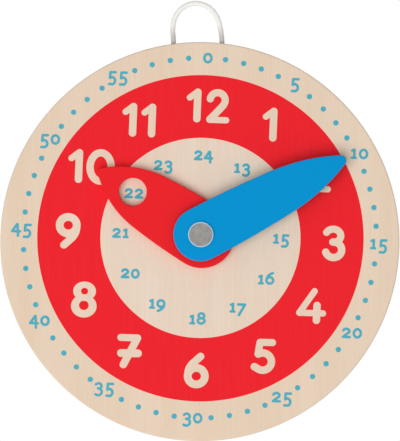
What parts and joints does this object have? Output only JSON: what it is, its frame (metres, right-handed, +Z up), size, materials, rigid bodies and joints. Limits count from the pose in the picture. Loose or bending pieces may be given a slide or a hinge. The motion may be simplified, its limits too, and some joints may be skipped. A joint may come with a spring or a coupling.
{
  "type": "teaching clock",
  "caption": "Round wooden teaching clock with a printed dial, an hour hand with a sight window and a minute hand, both turned by finger on one pivot, and a cord loop to hang it by.",
  "frame": {"origin": "hanging point: the top of the cord loop's inside, on the board's upright centre line and in the middle of the board's thickness", "axes": "+Z up, +X to the reader's right, +Y from the dial through the board to the wall; the dial looks towards -Y"},
  "size_m": [0.21, 0.0194, 0.2318],
  "materials": {
    "plywood": "clear matt lacquer over birch plywood, dial printed on the front",
    "red_wood": "satin red paint on plywood",
    "blue_wood": "satin blue paint on plywood",
    "steel": "satin nickel plate",
    "spring_steel": "rolled spring steel, oiled",
    "fibre": "vulcanised fibre, matt",
    "cord": "round braided cord, off-white"
  },
  "bodies": {
    "board": {"dial_board": "plywood", "pivot_post": "steel", "pivot_screw": "steel", "dial_washer": "fibre", "hand_washer": "fibre", "rear_washer": "steel", "disc_spring": "spring_steel", "hanging_loop": "cord"},
    "hour": {"hour_hand": "red_wood"},
    "minute": {"minute_hand": "blue_wood"}
  },
  "joints": [
    {"name": "hour_turn", "type": "hinge", "parent": "board", "child": "hour", "pos_m": [0.0005, 0, -0.1203], "axis": [0, 1, 0], "continuous": true},
    {"name": "minute_turn", "type": "hinge", "parent": "board", "child": "minute", "pos_m": [0.0005, 0, -0.1203], "axis": [0, 1, 0], "continuous": true}
  ]
}
